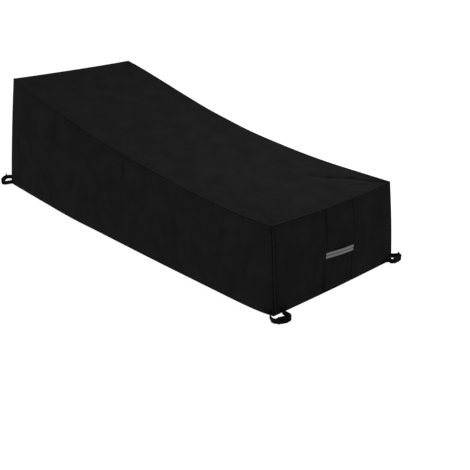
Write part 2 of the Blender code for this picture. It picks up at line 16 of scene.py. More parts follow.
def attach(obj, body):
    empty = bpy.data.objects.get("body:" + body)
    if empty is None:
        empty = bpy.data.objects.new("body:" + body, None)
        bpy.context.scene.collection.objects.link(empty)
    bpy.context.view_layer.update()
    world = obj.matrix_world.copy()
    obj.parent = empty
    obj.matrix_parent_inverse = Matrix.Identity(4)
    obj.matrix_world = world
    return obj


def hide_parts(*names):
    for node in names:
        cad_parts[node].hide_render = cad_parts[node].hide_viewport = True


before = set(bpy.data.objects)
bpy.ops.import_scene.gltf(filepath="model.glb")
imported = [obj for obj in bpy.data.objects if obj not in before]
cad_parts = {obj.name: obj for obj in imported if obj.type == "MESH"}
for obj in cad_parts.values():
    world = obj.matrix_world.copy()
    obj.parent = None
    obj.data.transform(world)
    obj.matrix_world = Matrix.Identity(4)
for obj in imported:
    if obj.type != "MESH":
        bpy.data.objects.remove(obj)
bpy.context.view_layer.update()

bpy.ops.object.select_all(action="DESELECT")


def table(kind, *rows):
    """A table whose rows have named values."""
    return tuple(kind(*row) for row in rows)


# ---------- the camera
CAMERA_TARGET = Vector((0.3524, 0.0490, 0.0))
CAMERA_AZIMUTH = math.radians(46.26)
CAMERA_ELEVATION = math.radians(24.35)
CAMERA_ROLL = math.radians(1.232)
CAMERA_DISTANCE = 4.0726
CAMERA_LENS = 59.30  # mm, with a sensor ...
CAMERA_SENSOR = 36.0  # ... this many mm wide


def place_camera():
    """Camera at the photograph's viewing angle."""
    across = Vector((math.cos(CAMERA_AZIMUTH), math.sin(CAMERA_AZIMUTH), 0.0))
    back = Vector((
        math.sin(CAMERA_AZIMUTH) * math.cos(CAMERA_ELEVATION),
        -math.cos(CAMERA_AZIMUTH) * math.cos(CAMERA_ELEVATION),
        math.sin(CAMERA_ELEVATION),
    ))
    up = back.cross(across)
    rolled_across = across * math.cos(CAMERA_ROLL) + up * math.sin(CAMERA_ROLL)
    rolled_up = back.cross(rolled_across)
    turned = Matrix((rolled_across, rolled_up, back)).transposed().to_4x4()
    bpy.ops.object.camera_add()
    camera = bpy.context.object
    camera.name = "photo_camera"
    camera.data.lens = CAMERA_LENS
    camera.data.sensor_width = CAMERA_SENSOR
    camera.matrix_world = Matrix.Translation(CAMERA_TARGET + back * CAMERA_DISTANCE) @ turned
    bpy.context.scene.camera = camera


place_camera()

# ---------- sizes of the sewn cover
LENGTH = 2.08  # of the top panel
HEM_HEAD = 1.091  # from the middle of the cover to the hem at the head end ...
HEM_FOOT = 1.077  # ... and at the foot end
END_HEM_BOW = 0.005  # how far the hem of an end bows outwards
WALL_BELLY = 0.0025  # how far a wall bulges at half its height
DIP_SKEW = 1.25  # moves the deepest line of the top's dip towards the far side
DIP_ROUNDING = 0.55  # less than 1 makes the dip steeper at its edges
SEAM_STEP = 0.0023  # from the top panel's face down to the walls' folded upper edges
CORNER_STEP = 0.0023  # from a long wall's face to the end walls' folded edges
CLOTH = 0.0009  # thickness
PITCH = 0.0085  # spacing of the cloth's points
FOOT_HEIGHT = 0.409  # height of the two corners at the foot end
FOOT_MIDDLE = 0.02  # a place between the two seams of the foot end
FOLD_REACH = 3  # half widths of a fold beyond which it is left out

# height is that of the near edge. The far edge lies higher by far_lift.
Section = namedtuple("Section", "along half_width height dip far_lift")
TOP_SECTIONS = table(
    Section,
    (-1.04, 0.404, 0.642, 0.004, 0.0), (-0.96, 0.415, 0.623, 0.007, 0.0),
    (-0.86, 0.416, 0.602, 0.01, 0.0015), (-0.65, 0.41, 0.562, 0.013, 0.002),
    (-0.45, 0.407, 0.523, 0.014, 0.0008), (-0.27, 0.404, 0.491, 0.014, -0.0005),
    (-0.09, 0.402, 0.465, 0.014, -0.001), (0.08, 0.399, 0.444, 0.014, -0.0015),
    (0.24, 0.399, 0.43, 0.014, -0.0015), (0.46, 0.402, 0.414, 0.013, -0.0005),
    (0.66, 0.405, 0.405, 0.012, 0.0015), (0.86, 0.408, 0.404, 0.012, 0.003),
    (1.04, 0.404, 0.409, 0.014, 0.002),
)

# How far the hem lies from the middle on each side, at a share of the way from head to foot.
SideHem = namedtuple("SideHem", "share near far")
SIDE_HEMS = table(
    SideHem,
    (0.0, 0.458, 0.458), (0.06, 0.463, 0.463), (0.17, 0.47, 0.468), (0.32, 0.477, 0.473),
    (0.44, 0.469, 0.47), (0.56, 0.462, 0.464), (0.7, 0.452, 0.457), (0.83, 0.44, 0.45),
    (0.92, 0.431, 0.443), (0.97, 0.42, 0.438), (1.0, 0.405, 0.432),
)

# Places of the two seams at a share of the foot end's height, and how dark the painted shade beside them
# is.
FootSeam = namedtuple("FootSeam", "level near far near_tone far_tone")
FOOT_SEAMS = table(
    FootSeam,
    (0.0, -0.086, 0.109, 1.0, 0.6), (0.25, -0.089, 0.11, 0.55, 0.4),
    (0.48, -0.066, 0.129, 0.32, 0.25), (0.72, -0.061, 0.128, 0.6, 0.2),
    (1.0, -0.068, 0.121, 0.85, 0.55),
)

# Soft folds and finer creases. depth is inwards, so a negative one is a ridge.
Fold = namedtuple("Fold", "x y to_x to_y depth half_width")


def fold_table(*rows):
    """Folds along lines on their panel. Their values are given in millimetres."""
    return tuple(Fold(*(value / 1000 for value in row)) for row in rows)


TOP_FOLDS = fold_table(
    (1000, 370, 740, 240, 6, 45), (980, 300, 800, 140, -4, 60), (400, 60, 160, 290, 4, 70),
    (520, -230, 360, -60, 3, 80), (-100, 250, -420, 180, -3.5, 90), (-300, -260, -620, -180, 3.5, 80),
    (-750, 280, -930, -60, -4, 90), (820, -290, 620, -240, -3, 70),
)
NEAR_FOLDS = fold_table(
    (-950, 500, -920, 100, -4, 70), (-590, 520, -610, 140, 4.5, 60), (-300, 400, -270, 80, -4, 90),
    (10, 420, 50, 100, 5, 60), (340, 340, 300, 80, -4, 80), (620, 340, 660, 100, 3.5, 70),
    (930, 340, 960, 80, -3.5, 50),
)
FAR_FOLDS = fold_table(
    (-900, 500, -930, 120, 4, 70), (-620, 460, -580, 100, -4.5, 80), (-240, 420, -270, 80, 4.5, 70),
    (120, 380, 150, 80, -4, 90), (470, 340, 440, 80, 4.5, 60), (830, 340, 860, 60, -4, 70),
)
HEAD_FOLDS = fold_table(
    (-240, 540, -270, 120, 5, 60), (20, 500, 50, 100, -5, 80), (270, 540, 240, 140, 4.5, 60),
)
FOOT_FOLDS = fold_table(
    (-300, 330, -320, 60, -4, 50), (-170, 340, -190, 60, 3.5, 45), (30, 340, 20, 240, -4, 45),
    (250, 330, 230, 60, 4, 50), (340, 330, 360, 60, -3.5, 45),
)

TOP_CREASES = fold_table(
    (1026, 388, 965, 361, 4.8, 11), (965, 361, 861, 325, 5.2, 12), (861, 325, 784, 266, 3.8, 13),
    (784, 266, 700, 215, 2.6, 15), (990, 330, 880, 270, -2.8, 15), (1020, 392, 860, 377, 3.6, 10),
    (1000, 345, 930, 250, 3.2, 12), (950, 390, 780, 350, -1.6, 10), (170, 283, 374, 94, 1.4, 18),
    (230, 300, 420, 120, -1, 20), (930, -340, 800, -250, 1.2, 16), (1020, -385, 940, -330, 1.6, 12),
    (-980, 370, -840, 280, 1.5, 18), (-1000, -380, -880, -290, 1.4, 17), (-620, -60, -480, 70, 1, 22),
    (-340, 110, -210, 10, -1.1, 24), (-120, -200, 20, -280, 1, 20), (560, 180, 640, 330, 1.2, 18),
    (620, -100, 760, -20, 0.9, 22),
)
NEAR_CREASES = fold_table(
    (-593, 544, -597, 463, 1.8, 12), (-597, 463, -612, 380, 1.4, 14), (9, 447, 16, 380, 1.6, 11),
    (16, 380, 22, 317, 1.8, 12), (40, 300, 70, 215, -2.2, 22), (-200, 300, -120, 180, 1.3, 18),
    (-330, 250, -250, 120, -1.2, 22), (200, 240, 140, 110, 1.4, 18), (-880, 420, -830, 260, 1.5, 20),
    (-980, 300, -940, 120, 1.4, 18), (-480, 360, -440, 210, -1.2, 20), (420, 270, 460, 120, 1.2, 20),
    (560, 200, 510, 60, -1.2, 18), (760, 300, 740, 150, 1.3, 18), (930, 230, 900, 90, 1.3, 16),
    (-700, 160, -610, 60, 1.2, 18),
)
FAR_CREASES = fold_table(
    (-820, 480, -790, 330, 1.8, 14), (-440, 410, -470, 240, 1.4, 18), (-100, 360, -50, 180, -1.3, 20),
    (290, 330, 250, 170, 1.6, 16), (640, 300, 670, 120, 1.4, 18), (940, 280, 910, 110, -1.2, 16),
    (-620, 210, -520, 80, 1.3, 20), (60, 190, 0, 60, 1.3, 18),
)
HEAD_CREASES = fold_table(
    (-330, 500, -300, 330, 1.6, 16), (-120, 400, -160, 220, 1.4, 20), (150, 460, 120, 280, -1.3, 20),
    (350, 360, 320, 160, 1.5, 18), (40, 240, -20, 90, 1.3, 18),
)
FOOT_CREASES = fold_table(
    (-389, 380, -388, 95, 2.2, 7), (-388, 95, -381, 22, 3, 8), (-372, 380, -370, 60, -1.2, 8),
    (146, 360, 150, 160, -0.7, 9), (205, 250, 190, 120, 1.2, 12), (320, 330, 350, 210, 1.6, 12),
    (360, 150, 330, 60, 1.3, 12), (-250, 300, -230, 200, 1.1, 14), (-130, 200, -150, 90, 1.2, 12),
    (40, 330, 60, 250, 1, 12), (10, 110, 40, 40, 1, 12),
)

# How the cloth's edges are sewn, as steps from the face towards the cut edge. inset is the distance
# from the edge along the panel, drop is inwards, and tucked marks cloth that no longer shows.
Edge = namedtuple("Edge", "inset drop tucked")
ROLLED_OVER = table(
    Edge,
    (0.0024, 0.0, False), (0.0013, 0.00022, False), (0.0006, 0.0007, False),
    (0.0001, 0.00135, False), (0.0003, 0.00185, False), (0.0012, 0.00222, False),
    (0.0032, 0.00226, True), (0.0036, 0.0042, True), (0.0036, 0.011, True),
)
FOLDED_BACK = table(
    Edge,
    (0.0013, 0.0, False), (0.0005, 0.00015, False), (0.0001, 0.00055, False), (0.0, 0.00105, False),
    (0.0002, 0.00155, True), (0.0006, 0.00195, True), (0.0014, 0.00215, True),
    (0.01, 0.00215, True),
)
HEMMED = (*FOLDED_BACK[:-1], Edge(0.012, 0.00215, True), Edge(0.024, 0.00215, True))
BESIDE_SEAM = (0.0125, 0.0098, 0.008, 0.0062, 0.0042)  # extra lines of points beside a seam ...
BESIDE_HEM = (0.0275, 0.0245, 0.0225, 0.021, 0.0195, 0.016, 0.0098, 0.0042)  # ... and the hem
SEAM_TURN = 0.0098  # width of the cloth that is turned in behind a seam ...
HEM_TURN = 0.024  # ... and behind the hem
RIDGE = 0.00035  # how far it lifts the face there
RIDGE_SLOPE = 0.0007  # how softly that ends ...
RIDGE_START = 0.003  # ... and starts
SEAM_STITCH = 0.006  # distance of the stitching from a seam ...
HEM_STITCH = 0.021  # ... and from the hem
STITCH_DIMPLE = 0.0003  # how deep the stitches pull the face in ...
DIMPLE_HALF = 0.0013  # ... and how far beside them
SEAM_TROUGH = 0.0016  # how deep the face dips to the seams beside the middle foot panel ...
TROUGH_HALF = 0.006  # ... and how wide
SEWN_REACH = 0.006  # how far past the turned-in cloth a seam shapes the face
SEAM_SHADE = 0.01  # how far the painted shade beside a seam reaches ...
SEAM_PAINTED_SHADE = {"over": 0.28, "back": 0.4, "corner": 0.6, "hem": 0.1}  # ... and how dark each kind is
CREASE_PAINTED_SHADE = 0.6  # how dark the painted shade in a crease of the depth CREASE_FULL is
CREASE_FULL = 0.005
EDGE_FADE = 0.012  # width beside an edge in which folds and waves die out
WAVINESS = 0.0009  # height of the waves all over the cloth ...
WAVE_SIZE = 0.075  # ... and their size
PUCKER = 0.0007  # height of the puckers that a seam draws up ...
PUCKER_SIZE = 0.014  # ... their size ...
PUCKER_REACH = 0.018  # ... and how far from the seam they reach ...
PUCKER_START = 0.004  # ... and begin
PRESSED_BESIDE = 0.012  # how far beyond a sewn-on end the cloth lies flat
PRESSED_HANDLE = 0.022  # half the width of the flat cloth at an end of the handle ...
PRESSED_UP = 0.03  # ... and half its height
PRESSED_FROM = 0.077  # only cloth this near to the foot end is flattened for the handle
THREAD = 0.0006  # thickness
STITCH_LENGTH = 0.0034
STITCH_PITCH = 0.0042
STITCH_SINK = THREAD * 0.75  # how far a stitch's ends dip into the cloth ...
STITCH_TAPER = 0.25  # ... and how much thinner they are
STITCH_LIFT = THREAD * 0.2  # from the cloth's face up to a stitch's middle
LONG_ROW, SHORT_ROW = 240, 90  # steps of a row of stitching on a panel over 1 m wide, and on others

# Sizes of the trim.
GAP = 0.0003  # between pieces that are sewn or fitted together
WEBBING = 0.0015  # thickness
WEBBING_COLUMNS = 6
STRAP_WIDTH = 0.025
STRAP_HEIGHT = 0.0172  # of a strap's middle at its clip ...
SEWN_HEIGHT = 0.015  # ... and where it is sewn on
SEWN_START = 0.045  # how far from the corner a strap's sewn part starts ...
SEWN_END = 0.02  # ... and ends
SEWN_STEP = 0.034  # how much further along the end walls' straps are sewn on
ABOVE_HEM = 0.9  # share of the way down that gives a wall's slope at the hem
PRESSED_STRAP = STRAP_WIDTH * 0.62  # half the height of the flat cloth under a strap
HANDLE_WIDTH = 0.0295
HANDLE_THICKNESS = 0.0018
HANDLE_RISE = 0.011  # how far the handle stands off its panel in the middle ...
HANDLE_ARCH = 0.005  # ... and how much higher its middle lies than the line between its ends
HANDLE_INSET = 0.002  # share of the middle panel's width left bare at each end of the handle
HANDLE_NEAR_HEIGHT = 0.1765
HANDLE_FAR_HEIGHT = 0.162
PRESSED_HEIGHT = HANDLE_FAR_HEIGHT + 0.008  # middle of the flat cloth at the handle's ends
HANDLE_TILT = 0.025  # share of the panel's height over which the handle takes its tilt
HANDLE_STEPS = 64
ROUTE_STEPS = 72
ARC_STEPS = 12
CLIP_APPROACH = 0.031  # from the clip's middle to where a strap's two layers meet
APPROACH_RUN = 0.011  # how straight a strap's curve arrives there ...
SEWN_RUN = 0.01  # ... and leaves its sewn part
LAYER_STEP = WEBBING + 0.0009  # between the middles of two layers of webbing
SOCKET_TAIL = 0.02  # length of the end that is sewn back at the socket
CLIP_HALF_LENGTH = 0.024
CLIP_BAR = 0.0035  # from the clip's end to the middle of its bar
CLIP_BAR_HALF = 0.0031  # half the bar's thickness
CLIP_EDGE = 0.0004  # width of the soft edges
SAME_POINT = 2e-6  # points of a clip's solid this close are joined ...
FLAT_ANGLE = math.radians(0.5)  # ... and faces this level
SELVEDGE = 0.32  # share of the webbing's thickness that its rounded edges take up

# Places seen from above and measured from the hem's corner: the clip's middle and heading, and the strap
# with the free end, its length, and how it spreads and rises.
Corner = namedtuple("Corner", "name end side clip_out clip_wide turn tail_on tail spread rise")
CORNERS = table(
    Corner,
    ("near_foot", 1, -1, 0.065, 0.013, -67, "side", 0.03, 0.001, 0.0),
    ("far_foot", 1, 1, 0.033, -0.001, -90, "side", 0.022, 0.003, 0.007),
    ("near_head", -1, -1, 0.047, 0.026, -48, "end", 0.018, 0.005, 0.012),
    ("far_head", -1, 1, 0.049, 0.021, -52, "end", 0.034, 0.009, 0.006),
)

# Where a strap passes. lift is the height of its lower edge, and lean is in degrees.
RoutePoint = namedtuple("RoutePoint", "out wide lift lean")
ROUTES = {
    ("near_foot", "side"): ((0.001, 0.026, 0.001, 2), (0.022, 0.038, 0.001, 4), (0.039, 0.043, 0.002, 6)),
    ("near_foot", "end"): (
        (0.013, -0.041, 0.003, 4), (0.032, -0.037, 0.003, 8), (0.05, -0.037, 0.003, 6),
        (0.067, -0.034, 0.004, 0),
    ),
    ("far_foot", "side"): ((0.001, 0.019, 0.006, 0), (0.012, 0.031, 0.007, 0)),
    ("far_foot", "end"): ((0.011, -0.038, 0.003, 4), (0.025, -0.036, 0.002, 4)),
    ("near_head", "side"): ((-0.009, 0.016, 0.001, 10), (-0.005, 0.039, 0.001, 8), (0.009, 0.05, 0.002, 4)),
    ("near_head", "end"): (
        (0.016, -0.046, 0.003, 0), (0.037, -0.042, 0.004, -6), (0.058, -0.035, 0.005, -4),
        (0.073, -0.017, 0.005, 0),
    ),
    ("far_head", "side"): ((-0.006, 0.016, 0.002, 6), (-0.001, 0.034, 0.001, 4), (0.012, 0.044, 0.003, 2)),
    ("far_head", "end"): (
        (0.014, -0.043, 0.002, 6), (0.036, -0.039, 0.003, 10), (0.058, -0.037, 0.002, 4),
        (0.075, -0.022, 0.004, 0),
    ),
}


# ---------- curves through the tables
def mix(first, last, share):
    return first + (last - first) * share


def through(rows, key, value, at):
    """Smooth curve through a table's rows: the column called value at the place at in column key."""
    places = [getattr(row, key) for row in rows]
    values = [getattr(row, value) for row in rows]
    at = min(max(at, places[0]), places[-1])
    index = max(i for i in range(len(rows) - 1) if places[i] <= at)
    before, after = max(index - 1, 0), min(index + 2, len(rows) - 1)
    width = places[index + 1] - places[index]
    slope_in = (values[index + 1] - values[before]) / (places[index + 1] - places[before])
    slope_out = (values[after] - values[index]) / (places[after] - places[index])
    t = (at - places[index]) / width
    return (
        (2 * t**3 - 3 * t**2 + 1) * values[index]
        + (t**3 - 2 * t**2 + t) * width * slope_in
        + (3 * t**2 - 2 * t**3) * values[index + 1]
        + (t**3 - t**2) * width * slope_out
    )


def spline(points, steps, first_run, last_run):
    """Points along a smooth curve through all the given points, with its runs at both ends given."""
    padded = [points[1] - 2 * first_run, *points, points[-2] + 2 * last_run]
    spans = len(points) - 1
    result = []
    for step in range(steps + 1):
        place = min(step * spans / steps, spans - 1e-6)
        index = int(place)
        t = place - index
        p0, p1, p2, p3 = padded[index : index + 4]
        curve = 2 * p1 + (p2 - p0) * t + (2 * p0 - 5 * p1 + 4 * p2 - p3) * t**2
        result.append(0.5 * (curve + (3 * p1 - p0 - 3 * p2 + p3) * t**3))
    return result


def fold_depth(folds, x, y):
    """How far the folds push a panel inwards at a place on it."""
    total = 0.0
    for fold in folds:
        run_x, run_y = fold.to_x - fold.x, fold.to_y - fold.y
        off_x, off_y = x - fold.x, y - fold.y
        share = (off_x * run_x + off_y * run_y) / (run_x**2 + run_y**2)
        share = min(max(share, 0.0), 1.0)
        squared = ((off_x - run_x * share) ** 2 + (off_y - run_y * share) ** 2) / fold.half_width**2
        if squared < FOLD_REACH**2:
            total += fold.depth * math.exp(-squared)
    return total


def seam_fade(across, down):
    """1 inside a panel and 0 on its four edges, where it meets other panels."""
    return max(1 - (2 * across - 1) ** 8, 0.0) * max(1 - (2 * down - 1) ** 4, 0.0)


@lru_cache(maxsize=None)
def section(value, x):
    """A value of the top panel's cross-section at a place along it."""
    return through(TOP_SECTIONS, "along", value, x)


def half_width(x):
    return section("half_width", x)


@lru_cache(maxsize=None)
def hem_width(side, share):
    return through(SIDE_HEMS, "share", "near" if side < 0 else "far", share)


@lru_cache(maxsize=None)
def foot_seam(side, down):
    return through(FOOT_SEAMS, "level", "near" if side < 0 else "far", 1 - down)


def top_height(x, y):
    half = half_width(x)
    across = min(max((y + half) / (2 * half), 0.0), 1.0)
    sag = section("dip", x) * max(math.sin(math.pi * across**DIP_SKEW), 0.0) ** DIP_ROUNDING
    folds = fold_depth(TOP_FOLDS, x, y) * seam_fade(x / LENGTH + 0.5, across)
    return section("height", x) + section("far_lift", x) * across**2 - sag - folds


@lru_cache(maxsize=None)
def wall_top(x, y):
    return top_height(x, y) - SEAM_STEP


# ---------- the panels' faces
def top_face(along, across):
    x = LENGTH * (along - 0.5)
    y = half_width(x) * (2 * across - 1)
    return Vector((x, y, top_height(x, y)))


def side_face(side):
    """Face of a long wall, from head to foot and from its upper edge down to the hem."""
    folds = NEAR_FOLDS if side < 0 else FAR_FOLDS

    def face(along, down):
        x = LENGTH * (along - 0.5)
        top = Vector((x, half_width(x), wall_top(x, side * half_width(x))))
        hem = Vector((mix(-HEM_HEAD, HEM_FOOT, along), hem_width(side, along), 0.0))
        point = top.lerp(hem, down)
        belly = WALL_BELLY * math.sin(math.pi * down)
        point.x += belly * (2 * along - 1)
        point.y += belly - fold_depth(folds, point.x, point.z) * seam_fade(along, down)
        point.y *= side
        return point

    return face


@lru_cache(maxsize=None)
def corner_y(side, end, down):
    """Where a long wall's face meets an end wall at a height on it."""
    x = end * LENGTH / 2
    hem = hem_width(side, 1.0 if end > 0 else 0.0)
    return side * (mix(half_width(x), hem, down) + WALL_BELLY * math.sin(math.pi * down))


def end_point(end, down, y, top_y):
    """Point of an end wall's face. y is its place there and top_y the place of its thread at the top."""
    folds = FOOT_FOLDS if end > 0 else HEAD_FOLDS
    hem = HEM_FOOT if end > 0 else HEM_HEAD
    near, far = corner_y(-1, end, down), corner_y(1, end, down)
    across = min(max((y - near) / (far - near), 0.0), 1.0)
    z = wall_top(end * LENGTH / 2, top_y) * (1 - down)
    bow = END_HEM_BOW * math.sin(math.pi * across)
    reach = mix(LENGTH / 2, hem + bow, down) + WALL_BELLY * math.sin(math.pi * down)
    reach -= fold_depth(folds, y, z) * seam_fade(across, down)
    return Vector((end * reach, y, z))


def end_mark(end, mark, down):
    """Where a seam crosses an end wall: -2 and 2 are its corners, -1 and 1 the two foot seams."""
    if abs(mark) == 2:
        side = 1 if mark > 0 else -1
        return corner_y(side, end, down) - side * CORNER_STEP
    return foot_seam(mark, down)


def end_place(end, first, last, across, down):
    return mix(end_mark(end, first, down), end_mark(end, last, down), across)


def end_face(end, first, last):
    """Face of the part of an end wall that lies between two marks, seen from near to far."""
    def face(across, down):
        place = end_place(end, first, last, across, down)
        return end_point(end, down, place, end_place(end, first, last, across, 0))

    return face


# ---------- materials
def from_hex(code):
    """Linear colour of an sRGB hex value."""
    values = [int(code[i : i + 2], 16) / 255 for i in (1, 3, 5)]
    return (*[v / 12.92 if v <= 0.04045 else ((v + 0.055) / 1.055) ** 2.4 for v in values], 1.0)


def add_node(tree, kind, settings=None, values=None, links=None):
    """Adds a node with its settings, the values of its sockets and the links into them."""
    made = tree.nodes.new(kind)
    for name, setting in (settings or {}).items():
        setattr(made, name, setting)
    for name, value in (values or {}).items():
        made.inputs[name].default_value = value
    for name, source in (links or {}).items():
        tree.links.new(source, made.inputs[name])
    return made


def start_material(name, shader_values):
    material = bpy.data.materials.new(name)
    material.use_nodes = True
    tree = material.node_tree
    shader = tree.nodes["Principled BSDF"]
    for socket, value in {"Metallic": 0.0, "IOR": 1.5, **shader_values}.items():
        shader.inputs[socket].default_value = value
    return material, tree, shader


def feed(shader, socket, source):
    shader.id_data.links.new(source, shader.inputs[socket])


def object_place(tree):
    return add_node(tree, "ShaderNodeTexCoord").outputs["Object"]


def cut_place(tree):
    """Place on the flat cut, in metres along the cloth."""
    return add_node(tree, "ShaderNodeUVMap", {"uv_map": "cut"}).outputs["UV"]


def noise_at(tree, place, **values):
    return add_node(tree, "ShaderNodeTexNoise", values=values, links={"Vector": place}).outputs["Fac"]


def bands(tree, place, direction, period, distortion=0.0):
    """Stripes one period apart, in metres. Diagonal ones lie twice as far apart."""
    values = {"Scale": math.pi / 10 / period, "Distortion": distortion}
    return add_node(tree, "ShaderNodeTexWave", {"bands_direction": direction}, values,
                    {"Vector": place}).outputs["Fac"]


def bump(tree, height, strength, distance, **links):
    return add_node(tree, "ShaderNodeBump", values={"Strength": strength, "Distance": distance},
                    links={"Height": height, **links}).outputs["Normal"]


def ramp_between(tree, source, low, high, low_place=0.3, high_place=0.7):
    """Colour ramp between two hex colours."""
    ramp = add_node(tree, "ShaderNodeValToRGB", links={"Fac": source})
    for element, place, code in zip(ramp.color_ramp.elements, (low_place, high_place), (low, high)):
        element.position = place
        element.color = from_hex(code)
    return ramp.outputs["Color"]


def roughness_from(tree, shader, source, **values):
    rough = add_node(tree, "ShaderNodeMapRange", values=values, links={"Value": source})
    feed(shader, "Roughness", rough.outputs["Result"])


def oxford_cloth():
    """Polyester Oxford, a plain weave of thick threads, coated on its inner side, which leaves it matt."""
    material, tree, shader = start_material("polyester_oxford_woven_coated", {
        "Specular IOR Level": 0.0,
        "Sheen Weight": 0.01,
        "Sheen Roughness": 0.55,
    })
    cut, place = cut_place(tree), object_place(tree)

    # Tone varies over hand-sized patches. Painted shade darkens it beside seams and in creases, where the
    # grooves would lie in shade.
    patches = noise_at(tree, place, Scale=9.0, Detail=4.0, Roughness=0.6)
    tone = ramp_between(tree, patches, "#121212", "#161616", 0.34, 0.66)
    # Painted shade: the cloth is darkened towards #050505 beside seams and in creases, standing in for the
    # shade in those grooves.
    beside = add_node(tree, "ShaderNodeAttribute", {"attribute_name": "painted_shade"}).outputs["Fac"]
    shaded = add_node(tree, "ShaderNodeMix", {"data_type": "RGBA"}, {"B": from_hex("#050505")},
                      {"Factor": beside, "A": tone})
    feed(shader, "Base Color", shaded.outputs["Result"])
    roughness_from(tree, shader, patches, **{"From Min": 0.35, "From Max": 0.65, "To Min": 0.56,
                                             "To Max": 0.70})

    # Threads lie 0.55 mm apart in the real cloth. They are drawn 3.55 mm apart, so that they can show.
    weave = add_node(tree, "ShaderNodeMath", {"operation": "MULTIPLY"})
    for index, direction in enumerate("XY"):
        tree.links.new(bands(tree, cut, direction, 0.003553), weave.inputs[index])
    fine = bump(tree, weave.outputs["Value"], 0.35, 0.0004)

    # Small creases that the cloth keeps from being folded and packed, 20 to 60 mm apart.
    creases = noise_at(tree, place, Scale=22.0, Detail=4.0, Roughness=0.55, Distortion=0.6)
    feed(shader, "Normal", bump(tree, creases, 0.6, 0.0035, Normal=fine))
    return material


def woven_webbing(name, dark, light, rib):
    """Polyester webbing, woven in ribs along its length. Its threads give a dry, matt face."""
    material, tree, shader = start_material(name, {
        "Specular IOR Level": 0.0,
        "Sheen Weight": 0.005,
        "Sheen Roughness": 0.5,
        "Roughness": 0.72,
    })
    cut = cut_place(tree)
    weave = add_node(tree, "ShaderNodeMath", {"operation": "MULTIPLY_ADD"})
    tree.links.new(bands(tree, cut, "DIAGONAL", 0.004343, 0.6), weave.inputs[0])
    weave.inputs[1].default_value = 0.45
    tree.links.new(bands(tree, cut, "Y", rib), weave.inputs[2])
    tone = ramp_between(tree, weave.outputs["Value"], dark, light, 0.1, 1.2)
    feed(shader, "Base Color", tone)
    feed(shader, "Normal", bump(tree, weave.outputs["Value"], 0.5, 0.0006))
    return material


def moulded_acetal():
    """Acetal, moulded in a finely etched mould, which leaves it nearly matt."""
    material, tree, shader = start_material("acetal_moulded_etched", {
        "Base Color": from_hex("#070707"),
        "IOR": 1.48,
        "Specular IOR Level": 0.015,
    })
    place = object_place(tree)
    grain = noise_at(tree, place, Scale=2500.0, Detail=2.0)
    feed(shader, "Normal", bump(tree, grain, 0.15, 0.0001))
    handled = noise_at(tree, place, Scale=90.0, Detail=3.0)
    roughness_from(tree, shader, handled, **{"To Min": 0.34, "To Max": 0.5})
    return material


def twisted_thread():
    """Bonded polyester thread, a little glossier than the cloth."""
    material, tree, shader = start_material("polyester_thread_bonded", {
        "Specular IOR Level": 0.25,
        "Roughness": 0.5,
    })
    fuzz = noise_at(tree, object_place(tree), Scale=400.0, Detail=2.0)
    feed(shader, "Base Color", ramp_between(tree, fuzz, "#0f0f10", "#19191a"))
    return material


CLOTH_FINISH = oxford_cloth()
HANDLE_FINISH = woven_webbing("polyester_webbing_woven_grey", "#3c3c3d", "#6c6c6d", 0.01449)
STRAP_FINISH = woven_webbing("polyester_webbing_woven_black", "#0a0a0a", "#111111", 0.0079)
CLIP_FINISH = moulded_acetal()
THREAD_FINISH = twisted_thread()


# ---------- the sewn cloth
# face gives a panel's outer face from its two shares, wide and tall its size across them, plane the two
# axes that its creases are given in, and seams how its four edges are joined: first, last, upper, lower.
Panel = namedtuple("Panel", "name node face wide tall inwards creases plane seams seed")
Line = namedtuple("Line", "share inset drop tucked")
BESIDE = dict.fromkeys(("over", "corner", "back", "flat"), BESIDE_SEAM) | {"hem": BESIDE_HEM}
PROFILES = {
    "over": ROLLED_OVER, "corner": ROLLED_OVER, "back": FOLDED_BACK, "flat": FOLDED_BACK, "hem": HEMMED,
}


def cut_lines(size, first, last):
    """Lines of points across a cut: over one sewn edge, over the face and over the other sewn edge."""
    lines = [Line(0.0, edge.inset, edge.drop, edge.tucked) for edge in reversed(PROFILES[first])]
    lines += [Line(0.0, inset, 0.0, False) for inset in reversed(BESIDE[first])]
    start, end = BESIDE[first][0] + PITCH / 2, size - BESIDE[last][0] - PITCH / 2
    count = max(round((end - start) / PITCH), 4)
    lines += [Line(mix(start, end, step / count) / size, 0.0, 0.0, False) for step in range(count + 1)]
    lines += [Line(1.0, -inset, 0.0, False) for inset in BESIDE[last]]
    lines += [Line(1.0, -edge.inset, edge.drop, edge.tucked) for edge in PROFILES[last]]
    return lines


def cloth_run(lines, size):
    """Distance along the cloth at each line, in metres."""
    run = [0.0]
    for before, after in zip(lines, lines[1:]):
        step = (after.share - before.share) * size + after.inset - before.inset
        run.append(run[-1] + math.hypot(step, after.drop - before.drop))
    return run


def bell(place, middle, half):
    return math.exp(-(((place - middle) / half) ** 2))


def sewn_relief(seam, inset):
    """How far a sewn edge moves the face inwards at a distance from it."""
    turned = HEM_TURN if seam == "hem" else SEAM_TURN
    stitched = HEM_STITCH if seam == "hem" else SEAM_STITCH
    if inset > turned + SEWN_REACH:
        return 0.0
    lift = RIDGE / (1 + math.exp((inset - turned) / RIDGE_SLOPE)) * min(inset / RIDGE_START, 1.0)
    dimple = STITCH_DIMPLE * bell(inset, stitched, DIMPLE_HALF)
    trough = SEAM_TROUGH * bell(inset, 0.0, TROUGH_HALF) if seam == "flat" else 0.0
    return dimple + trough - lift


def unevenness(point, scale, seed):
    return noise.noise(Vector((point.x / scale + seed, point.y / scale, point.z / scale - seed)))


